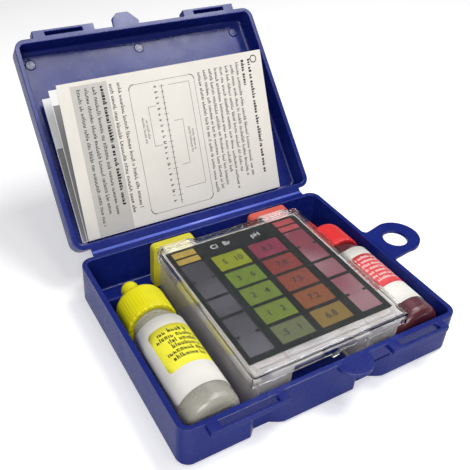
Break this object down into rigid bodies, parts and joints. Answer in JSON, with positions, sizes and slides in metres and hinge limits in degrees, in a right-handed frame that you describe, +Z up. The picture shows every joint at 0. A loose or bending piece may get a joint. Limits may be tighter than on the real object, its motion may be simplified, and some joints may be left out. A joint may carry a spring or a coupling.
{
  "type": "water test kit",
  "caption": "Hinged plastic case holding a clear colour comparator with stoppered sample chambers, reagent dropper bottles and folded leaflets, for testing pool water.",
  "frame": {"origin": "middle of the underside of the case's base", "axes": "+X along the hinge towards the hang tab, +Y from the front wall to the hinge, +Z up"},
  "size_m": [0.1674, 0.2091, 0.1108],
  "materials": {
    "case_plastic": "satin moulded polypropylene",
    "clear_plastic": "polished clear polystyrene",
    "chart_film": "printed film",
    "yellow_plastic": "soft satin",
    "yellow_rubber": "soft satin",
    "red_rubber": "soft satin",
    "red_plastic": "soft satin",
    "bottle_plastic": "translucent polyethylene",
    "dropper_plastic": "natural polyethylene",
    "pale_liquid": "liquid",
    "red_liquid": "liquid",
    "label_paper": "coated label",
    "leaflet_paper": "uncoated paper"
  },
  "bodies": {
    "base": {"case_base": "case_plastic", "hang_tab": "case_plastic", "bay_rib": "case_plastic", "living_hinge": "case_plastic"},
    "lid": {"case_lid": "case_plastic"},
    "leaflet_front": {"leaflet_front": "leaflet_paper"},
    "leaflet_middle": {"leaflet_middle": "leaflet_paper"},
    "leaflet_rear": {"leaflet_rear": "leaflet_paper"},
    "comparator": {"comparator_cell": "clear_plastic", "comparator_cover": "clear_plastic", "colour_chart": "chart_film"},
    "stopper_yellow": {"stopper_yellow": "yellow_rubber"},
    "stopper_red": {"stopper_red": "red_rubber"},
    "bottle_left": {"bottle_left": "bottle_plastic", "liquid_left": "pale_liquid", "dropper_left": "dropper_plastic", "label_left": "label_paper"},
    "cap_left": {"cap_left": "yellow_plastic"},
    "bottle_right": {"bottle_right": "bottle_plastic", "liquid_right": "red_liquid", "dropper_right": "dropper_plastic", "label_right": "label_paper"},
    "cap_right": {"cap_right": "red_plastic"}
  },
  "joints": [
    {"name": "lid_hinge", "type": "hinge", "parent": "base", "child": "lid", "pos_m": [0, 0.058, 0.0223], "axis": [-1, 0, 0], "range_deg": [-133.5, 46]},
    {"name": "leaflet_front_fold", "type": "hinge", "parent": "lid", "child": "leaflet_front", "pos_m": [0, 0.07029, 0.02029], "axis": [-1, 0, 0], "range_deg": [-6.98, 19.7]},
    {"name": "leaflet_middle_fold", "type": "hinge", "parent": "lid", "child": "leaflet_middle", "pos_m": [0, 0.07065, 0.01994], "axis": [-1, 0, 0], "range_deg": [-3.61, 9.9]},
    {"name": "leaflet_rear_fold", "type": "hinge", "parent": "lid", "child": "leaflet_rear", "pos_m": [0, 0.07101, 0.0196], "axis": [-1, 0, 0], "range_deg": [-1.54, 3.9]},
    {"name": "comparator_lift", "type": "slide", "parent": "base", "child": "comparator", "axis": [0, 0, 1], "range_m": [0, 0.07]},
    {"name": "stopper_yellow_pull", "type": "slide", "parent": "comparator", "child": "stopper_yellow", "axis": [0, 1, 0], "range_m": [0, 0.0065]},
    {"name": "stopper_red_pull", "type": "slide", "parent": "comparator", "child": "stopper_red", "axis": [0, 1, 0], "range_m": [0, 0.0065]},
    {"name": "bottle_left_lift", "type": "slide", "parent": "base", "child": "bottle_left", "axis": [0, 0, 1], "range_m": [0, 0.07]},
    {"name": "cap_left_turn", "type": "hinge", "parent": "bottle_left", "child": "cap_left", "pos_m": [-0.0536, 0.0155, 0.01427], "axis": [0, 1, 0], "range_deg": [0, 450]},
    {"name": "bottle_right_lift", "type": "slide", "parent": "base", "child": "bottle_right", "axis": [0.2442, 0, 0.9697], "range_m": [0, 0.07]},
    {"name": "cap_right_turn", "type": "hinge", "parent": "bottle_right", "child": "cap_right", "pos_m": [0.05264, 0.0155, 0.01427], "axis": [0, 1, 0], "range_deg": [0, 450]}
  ],
  "couplings": [
    {"joint": "leaflet_front_fold", "follows": "lid_hinge", "ratio": -0.14532},
    {"joint": "leaflet_middle_fold", "follows": "lid_hinge", "ratio": -0.07191},
    {"joint": "leaflet_rear_fold", "follows": "lid_hinge", "ratio": -0.026966}
  ]
}
